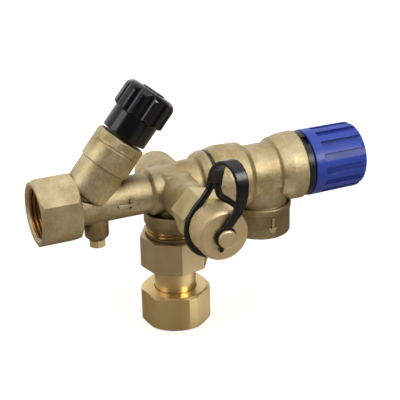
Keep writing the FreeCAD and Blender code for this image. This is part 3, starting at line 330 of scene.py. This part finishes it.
def select(*pieces):
    clearSelection()
    for piece in pieces:
        piece.select_set(True)
    bpy.context.view_layer.objects.active = pieces[0]


def applyPlace(piece):
    select(piece)
    bpy.ops.object.transform_apply(location=True, rotation=True, scale=True)


def applyModifier(piece, kind, **settings):
    select(piece)
    made = piece.modifiers.new(kind.title(), kind)
    for key, value in settings.items():
        setattr(made, key, value)
    bpy.ops.object.modifier_apply(modifier=made.name)


def faceOutwards():
    # in edit mode
    bpy.ops.mesh.select_all(action="SELECT")
    bpy.ops.mesh.normals_make_consistent(inside=False)


def settle(piece, name, mat, body):
    # place into the mesh, finish and body
    applyPlace(piece)
    piece.name = name
    piece.data.materials.clear()
    piece.data.materials.append(mat)
    if body:
        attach(piece, body)


def drawOutline(corners):
    # a closed outline in the XZ plane, from corners given as (radius, height)
    clearSelection()
    bpy.ops.mesh.primitive_circle_add(vertices=len(corners), radius=1.0, fill_type="NOTHING")
    outline = bpy.context.active_object
    for vertex, (radius, height) in zip(outline.data.vertices, corners):
        vertex.co = Vector((radius, 0, height)) * mm
    return outline


weldGap = 0.01 * mm  # points closer than this are one


def spinOutline(outline, pitch, turns, steps=72):
    # turn a closed outline round Z, rising by the pitch, and close its ends
    applyModifier(outline, "SCREW", angle=math.tau, screw_offset=pitch * mm, iterations=turns,
                  steps=steps, render_steps=steps, use_smooth_shade=False,
                  use_merge_vertices=True, merge_threshold=weldGap)
    bpy.ops.object.mode_set(mode="EDIT")
    bpy.ops.mesh.select_all(action="SELECT")
    bpy.ops.mesh.remove_doubles(threshold=weldGap)
    bpy.ops.mesh.select_all(action="DESELECT")
    bpy.ops.mesh.select_non_manifold(use_wire=False, use_multi_face=False, use_verts=False)
    bpy.ops.mesh.fill_holes(sides=0)
    faceOutwards()
    bpy.ops.object.mode_set(mode="OBJECT")


# Screw threads as raised ridges on the plain walls
inchThread = {"wall": 15.2, "crest": 14.55, "pitch": 2.309, "tilt": 0, "body": "valve_body",
              "finish": turned["cutThreadBrass"]}
threadLooks = {
    "inletThread": {**inchThread, "start": 1.2, "turns": 5, "at": (inletFace, 0, axisHeight), "tilt": 90},
    "outletThread": {**inchThread, "start": 1.2, "turns": 5, "at": (outletMiddle, 0, 49.5)},
    "nutThread": {**inchThread, "start": 0.8, "turns": 4, "at": (0, 0, 0), "body": "lower_union_nut"},
    "portThread": {**inchThread, "start": 0.3, "turns": 2, "at": (0, 0, 58.4), "wall": 16.5, "crest": 17.2,
                   "finish": turned["threadBrass"]},
}
ridgeShare = 0.46  # half of a ridge's foot, as a share of the pitch
smoothAngle = math.radians(50)  # sharper edges than this stay crisp


def makeThread(name, look):
    half = look["pitch"] * ridgeShare
    start = look["start"]
    ridge = drawOutline([(look["wall"], start), (look["crest"], start + half),
                         (look["wall"], start + 2 * half)])
    spinOutline(ridge, look["pitch"], look["turns"])
    ridge.rotation_euler = (0, math.radians(look["tilt"]), 0)
    ridge.location = Vector(look["at"]) * mm
    settle(ridge, name, look["finish"], look["body"])
    bpy.ops.object.shade_smooth_by_angle(angle=smoothAngle)


for name, look in threadLooks.items():
    makeThread(name, look)
print("threads cut")


# Flow arrows, raised on the castings: three bars softened together and wrapped round the wall
arrowLooks = {
    "pipeArrow": {"at": (-33.4, 0, axisHeight), "along": (1, 0, 0), "face": (0, -1, 0), "radius": 12.2,
                  "shaft": 7.0, "head": 5.0, "bar": 1.9, "rise": 1.25},
    "outletArrow": {"at": (outletMiddle, 0, 58.7), "along": (0, 0, -1), "face": (-0.024, -0.9997, 0),
                    "radius": 18.7, "shaft": 5.6, "head": 4.0, "bar": 1.6, "rise": 1.1},
}
arrowShape = {"spread": 35.0, "tipShare": 0.45, "backShare": 0.2, "lapShare": 0.5,  # shares of the head
              "voxel": 0.13, "softening": 14}
softenFactor = 0.5  # for one pass of the Smooth modifier


def makeArrow(name, look):
    head = look["head"]
    tip = look["shaft"] / 2 + head * arrowShape["tipShare"]
    spread = math.radians(arrowShape["spread"])
    middle = tip - head / 2 * math.cos(spread)
    # each bar's X, Y, length and turn
    plan = [(-head * arrowShape["backShare"], 0, look["shaft"] + head * arrowShape["lapShare"], 0)]
    for side in (1, -1):
        plan.append((middle, side * head / 2 * math.sin(spread), head, -side * spread))
    bars = []
    for x, y, length, turn in plan:
        clearSelection()
        bpy.ops.mesh.primitive_cube_add(size=1.0, location=Vector((x, y, 0)) * mm, rotation=(0, 0, turn))
        bar = bpy.context.active_object
        bar.scale = Vector((length, look["bar"], 2 * look["rise"])) * mm
        applyPlace(bar)
        bars.append(bar)
    select(*bars)
    bpy.ops.object.join()
    arrow = bars[0]
    applyModifier(arrow, "REMESH", mode="VOXEL", voxel_size=arrowShape["voxel"] * mm)
    applyModifier(arrow, "SMOOTH", factor=softenFactor, iterations=arrowShape["softening"])
    along = Vector(look["along"])
    face = Vector(look["face"])
    across = along.cross(face)
    for vertex in arrow.data.vertices:
        angle = vertex.co.y / (look["radius"] * mm)
        reach = look["radius"] * mm + vertex.co.z
        outward = face * math.cos(angle) - across * math.sin(angle)
        vertex.co = Vector(look["at"]) * mm + along * vertex.co.x + outward * reach
    bpy.ops.object.mode_set(mode="EDIT")
    faceOutwards()
    bpy.ops.object.mode_set(mode="OBJECT")
    bpy.ops.object.shade_smooth()
    settle(arrow, name, castMarkBrass, "valve_body")


for name, look in arrowLooks.items():
    makeArrow(name, look)
print("arrows raised")


# Straight knurl round the drain cap, drawn coarser than the real one so that it shows
knurlLook = {"radius": 14.68, "deep": 0.32, "ridges": 72, "from": 60.6, "to": 72.6, "wall": 0.5}


def makeKnurl():
    clearSelection()
    points = 2 * knurlLook["ridges"]  # a crest and a root for each ridge
    width = knurlLook["to"] - knurlLook["from"]
    bpy.ops.mesh.primitive_cylinder_add(vertices=points, radius=knurlLook["radius"] * mm, depth=width * mm,
                                        end_fill_type="NOTHING")
    band = bpy.context.active_object
    grow = 1 + knurlLook["deep"] / knurlLook["radius"]
    for vertex in band.data.vertices:
        step = round(math.atan2(vertex.co.y, vertex.co.x) / math.tau * points)
        if step % 2:
            vertex.co.x *= grow
            vertex.co.y *= grow
    applyModifier(band, "SOLIDIFY", thickness=knurlLook["wall"] * mm, offset=-1.0)
    band.rotation_euler = (math.radians(90), 0, 0)
    band.location = Vector((0, -(knurlLook["from"] + width / 2), axisHeight)) * mm
    settle(band, "capKnurl", turned["turnedBrassCap"], "drain_cap")


makeKnurl()
print("knurl rolled")


def layAlongPipe(piece, x):
    piece.rotation_euler = (0, math.radians(90), 0)
    piece.location = Vector((x, 0, axisHeight)) * mm


# Springs inside the valves
springLooks = {
    "checkCoil": {"node": "check_spring", "radius": 2.5, "wire": 0.35, "turns": 5, "from": -34.85,
                  "to": -21.0, "joint": "check_slide", "travel": 4.5},
    "reliefCoil": {"node": "relief_spring", "radius": 9.4, "wire": 1.25, "turns": 5, "from": 75.6,
                   "to": 98.95, "joint": "relief_lift", "travel": 2.0},
}
wireSides = 12
coilSteps = 48  # in one turn


def makeSpring(name, look):
    clearSelection()
    bpy.ops.mesh.primitive_circle_add(vertices=wireSides, radius=look["wire"] * mm,
                                      location=(look["radius"] * mm, 0, 0), rotation=(math.radians(90), 0, 0))
    spring = bpy.context.active_object
    applyPlace(spring)
    length = look["to"] - look["from"]
    spinOutline(spring, (length - 2 * look["wire"]) / look["turns"], look["turns"], steps=coilSteps)
    layAlongPipe(spring, look["from"] + look["wire"])
    settle(spring, name, brightSteel, "valve_body")
    bpy.ops.object.shade_smooth_by_angle(angle=smoothAngle)
    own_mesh(spring)
    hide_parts(look["node"])


for name, look in springLooks.items():
    makeSpring(name, look)
print("springs wound")


# Relief diaphragm, parted at its fold: the clamped rim stays and the middle goes with the stem
diaphragmLooks = {
    "diaphragmRim": {"inner": 12.7, "outer": 17.95, "body": "valve_body"},
    "diaphragmPad": {"inner": 3.0, "outer": 12.5, "body": "relief_stem"},
}
diaphragmSheet = {"from": 71.0, "thick": 1.5, "edge": 0.3, "smoothDegrees": 40}


def makeDiaphragm(name, look):
    inner, outer, thick = look["inner"], look["outer"], diaphragmSheet["thick"]
    ring = drawOutline([(inner, 0), (outer, 0), (outer, thick), (inner, thick)])
    spinOutline(ring, 0.0, 1)
    applyModifier(ring, "BEVEL", width=diaphragmSheet["edge"] * mm, segments=2, limit_method="ANGLE")
    layAlongPipe(ring, diaphragmSheet["from"])
    settle(ring, name, moulded["epdmRubber"], look["body"])
    bpy.ops.object.shade_smooth_by_angle(angle=math.radians(diaphragmSheet["smoothDegrees"]))
    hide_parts("relief_diaphragm")


for name, look in diaphragmLooks.items():
    makeDiaphragm(name, look)
print("diaphragm cut")


# Retaining strap: a round ring on the drain's neck whose two arms meet in a flat band that loops over to an
# eye on the cap's stud. The arms' points are (X, above the main axis), and the band's and the nib's are
# (X, forward, above the main axis).
strapLook = {
    "ringAt": 55.0, "cord": 2.1, "tipShare": 0.45, "ringCentre": (2.6, -3.3), "ringRadius": 16.8,
    "ringFrom": -62.0, "ringTo": 51.0, "ringSteps": 15,
    "leftArm": [(1.4, 26), (1.0, 23), (0.2, 20.6), (-1.5, 18.6), (-4.4, 14.6), (-9.0, 10.6)],
    "rightArm": [(12.6, 10.4), (9.2, 13.2), (6.2, 15.6), (5.6, 18), (5.0, 20.6), (4.6, 23), (4.2, 26)],
    "band": [(2.7, 55.0, 21.6), (3.1, 55.4, 25.5), (3.6, 56.4, 30.5), (4.4, 58.8, 35.8), (6.9, 64.6, 40.4),
             (9.3, 71.2, 38.8), (10.5, 75.6, 32.6), (10.2, 77.0, 25.5), (8.7, 77.8, 18.6), (5.5, 77.8, 12.6),
             (2.5, 77.2, 9.0), (0.9, 76.4, 5.8)],
    "startWidth": 9.4, "endWidth": 6.0, "bandThick": 2.2,
    "eye": 4.9, "eyeCord": 1.9, "eyeAt": 76.1, "eyeSteps": 12, "eyeFlat": 0.55,
    "nib": (-2.6, 76.1, -7.4), "nibRadius": 1.5, "voxel": 0.42, "softening": 5,
}


def strapPoint(x, forward, above):
    return Vector((x, -forward, axisHeight + above)) * mm


def makePath(name, points, cyclic=False):
    clearSelection()
    bpy.ops.curve.primitive_nurbs_path_add()
    path = bpy.context.active_object
    path.name = name
    curve = path.data
    curve.splines.clear()
    spline = curve.splines.new("NURBS")
    spline.points.add(len(points) - 1)
    for knot, point in zip(spline.points, points):
        knot.co = (*point, 1.0)
    spline.order_u = 4
    spline.use_endpoint_u = not cyclic
    spline.use_cyclic_u = cyclic
    curve.resolution_u = 10
    curve.use_fill_caps = True
    return path


def toMesh(path):
    select(path)
    bpy.ops.object.convert(target="MESH")
    return bpy.context.active_object


def makeRing():
    look = strapLook
    x, above = look["ringCentre"]
    hang = 360 + look["ringFrom"] - look["ringTo"]  # the ring hangs slack on the neck, open at its top
    steps = look["ringSteps"]
    angles = [math.radians(look["ringFrom"] - hang * k / steps) for k in range(steps + 1)]
    loop = [(x + look["ringRadius"] * math.sin(a), above + look["ringRadius"] * math.cos(a)) for a in angles]
    route = look["leftArm"] + loop + look["rightArm"]
    ring = makePath("strapRing", [strapPoint(across, look["ringAt"], up) for across, up in route])
    for tip in (0, -1):  # the arms thin out inside the band
        ring.data.splines[0].points[tip].radius = look["tipShare"]
    ring.data.bevel_depth = look["cord"] * mm
    ring.data.bevel_resolution = 5
    return toMesh(ring)


def makeBand():
    band = toMesh(makePath("strapBand", [strapPoint(*point) for point in strapLook["band"]]))
    count = len(band.data.vertices)
    bpy.ops.object.mode_set(mode="EDIT")
    bpy.ops.mesh.select_all(action="SELECT")
    bpy.ops.mesh.extrude_edges_indiv()
    bpy.ops.object.mode_set(mode="OBJECT")
    for i, vertex in enumerate(band.data.vertices):  # the ribbon's two edges, narrowing towards the eye
        along = (i % count) / (count - 1)
        width = strapLook["startWidth"] + (strapLook["endWidth"] - strapLook["startWidth"]) * along
        vertex.co.x += width / 2 * mm * (1 if i < count else -1)
    applyModifier(band, "SOLIDIFY", thickness=strapLook["bandThick"] * mm, offset=0.0)
    return band


def makeEye():
    look = strapLook
    angles = [k * math.tau / look["eyeSteps"] for k in range(look["eyeSteps"])]
    eye = makePath("strapEye", [
        strapPoint(look["eye"] * math.sin(a), look["eyeAt"], look["eye"] * math.cos(a)) for a in angles],
        cyclic=True)
    eye.data.bevel_depth = look["eyeCord"] * mm
    eye.data.bevel_resolution = 4
    return toMesh(eye)


def makeNib():
    clearSelection()
    bpy.ops.mesh.primitive_uv_sphere_add(radius=strapLook["nibRadius"] * mm,
                                         location=strapPoint(*strapLook["nib"]))
    return bpy.context.active_object


def makeStrap():
    look = strapLook
    strap, band, eye, nib = makeRing(), makeBand(), makeEye(), makeNib()
    layer = -look["eyeAt"] * mm
    for piece in (eye, nib):  # flattened between the cap's face and the stud's head
        applyPlace(piece)
        for vertex in piece.data.vertices:
            vertex.co.y = layer + (vertex.co.y - layer) * look["eyeFlat"]
    select(strap, band, eye, nib)
    bpy.ops.object.join()
    applyModifier(strap, "REMESH", mode="VOXEL", voxel_size=look["voxel"] * mm)
    applyModifier(strap, "SMOOTH", factor=softenFactor, iterations=look["softening"])
    bpy.ops.object.shade_smooth()
    settle(strap, "retainingStrap", moulded["epdmRubber"], None)
    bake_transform(strap)
    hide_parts("drain_strap")


makeStrap()
print("strap moulded")


# Studio floor, matt paint: white to the camera but for the soft shadow. Shiny pieces see its glow only in
# the sweep behind the object and in a round card in front of the nuts.
floorLook = {"size": 8000.0, "paint": "#9c9588", "glow": 0.8, "sweep": (150.0, 600.0), "cardAt": (50, -50, 0),
             "card": (62.0, 20.0), "fade": (130.0, 320.0)}


def makeFloor():
    clearSelection()
    bpy.ops.mesh.primitive_plane_add(size=floorLook["size"] * mm)
    floor = bpy.context.active_object
    floor.name = "floor"
    mat, place = newMaterial("floorPaint")
    ray = addNode(mat, "ShaderNodeLightPath")
    apart = addNode(mat, "ShaderNodeSeparateXYZ", None, {0: place})
    away = addNode(mat, "ShaderNodeVectorMath", {"operation": "DISTANCE"},
                   {0: place, 1: Vector(floorLook["cardAt"]) * mm})
    sweep = addNode(mat, "ShaderNodeMapRange", None,
                    {"Value": apart.outputs["Y"], **span("From", [y * mm for y in floorLook["sweep"]])})
    card = addNode(mat, "ShaderNodeMapRange", None,
                   {"Value": away.outputs["Value"], **span("From", [r * mm for r in floorLook["card"]])})
    fade = addNode(mat, "ShaderNodeMapRange", None,  # clear white away from the shadow
                   {"Value": away.outputs["Value"], **span("From", [r * mm for r in floorLook["fade"]]),
                    **span("To", (1.0, 1.0 / floorLook["glow"]))})
    lit = addNode(mat, "ShaderNodeMath", {"operation": "MAXIMUM"}, {0: sweep.outputs[0], 1: card.outputs[0]})
    mirrored = addNode(mat, "ShaderNodeMath", {"operation": "ADD"},
                       {0: ray.outputs["Is Glossy Ray"], 1: ray.outputs["Is Transmission Ray"]})
    direct = addNode(mat, "ShaderNodeMath", {"operation": "MULTIPLY"},
                     {0: ray.outputs["Is Camera Ray"], 1: fade.outputs[0]})
    shown = addNode(mat, "ShaderNodeMath", {"operation": "MULTIPLY_ADD"},
                    {0: mirrored.outputs[0], 1: lit.outputs[0], 2: direct.outputs[0]})
    glow = addNode(mat, "ShaderNodeMath", {"operation": "MULTIPLY"},
                   {0: shown.outputs[0], 1: floorLook["glow"]})
    shader = addNode(mat, "ShaderNodeBsdfPrincipled", None,
                     {"Base Color": colour(floorLook["paint"]), "Roughness": 0.9,
                      "Emission Color": colour(whiteLight), "Emission Strength": glow.outputs[0]})
    addNode(mat, "ShaderNodeOutputMaterial", None, {"Surface": shader.outputs[0]})
    floor.data.materials.append(mat)


# Studio walls: dim behind the camera and bright behind the object, and white where the camera sees them
wallLook = {"depth": (0.1, 0.9), "light": (0.08, 1.0)}


def makeWalls():
    world = bpy.data.worlds.new("studio")
    bpy.context.scene.world = world
    world.use_nodes = True
    world.node_tree.nodes.clear()
    direction = addNode(world, "ShaderNodeTexCoord")
    apart = addNode(world, "ShaderNodeSeparateXYZ", None, {0: direction.outputs["Generated"]})
    level = addNode(world, "ShaderNodeMapRange", None,
                    {"Value": apart.outputs["Y"], **span("From", wallLook["depth"]),
                     **span("To", wallLook["light"])})
    ray = addNode(world, "ShaderNodeLightPath")
    seen = addNode(world, "ShaderNodeMath", {"operation": "MAXIMUM"},
                   {0: level.outputs[0], 1: ray.outputs["Is Camera Ray"]})
    sky = addNode(world, "ShaderNodeBackground", None,
                  {"Color": colour(whiteLight), "Strength": seen.outputs[0]})
    addNode(world, "ShaderNodeOutputWorld", None, {"Surface": sky.outputs[0]})


# Soft boxes, all turned to the junction of the pipes
lampLooks = {
    "overheadBox": {"at": (100, -150, 900), "size": (1200, 900), "watts": 4.0},
    "rightBox": {"at": (420, -760, 580), "size": (350, 350), "watts": 4.0},
    "leftBox": {"at": (-800, 0, 560), "size": (500, 700), "watts": 2.7},
}
lampTarget = (0, 0, 80)


def makeLamp(name, look):
    clearSelection()
    bpy.ops.object.light_add(type="AREA", location=Vector(look["at"]) * mm)
    lamp = bpy.context.active_object
    lamp.name = name
    lamp.data.shape = "RECTANGLE"
    lamp.data.size = look["size"][0] * mm
    lamp.data.size_y = look["size"][1] * mm
    lamp.data.energy = look["watts"]
    aim = Vector(lampTarget) * mm - lamp.location
    lamp.rotation_euler = aim.to_track_quat("-Z", "Y").to_euler()


# The photograph's camera: place, view and shift were fitted to points on the object
cameraLook = {"at": (-256.2, -638.1, 389.5), "view": (0.3413, 0.8499, -0.4016), "roll": -1.8, "lens": 112.6,
              "sensor": 36.0, "shift": (0.06875, -0.03125), "nearest": 10.0}


def makeCamera():
    clearSelection()
    place = Vector(cameraLook["at"]) * mm
    bpy.ops.object.camera_add(location=place)
    camera = bpy.context.active_object
    view = Vector(cameraLook["view"]).to_track_quat("-Z", "Y").to_matrix().to_4x4()
    roll = Matrix.Rotation(math.radians(cameraLook["roll"]), 4, "Z")
    camera.matrix_world = Matrix.Translation(place) @ view @ roll
    camera.data.lens = cameraLook["lens"]
    camera.data.sensor_width = cameraLook["sensor"]
    camera.data.shift_x, camera.data.shift_y = cameraLook["shift"]
    camera.data.clip_start = cameraLook["nearest"] * mm
    bpy.context.scene.camera = camera


makeFloor()
makeWalls()
for name, look in lampLooks.items():
    makeLamp(name, look)
makeCamera()
bpy.context.scene.view_settings.view_transform = "Standard"
print("stage lit")
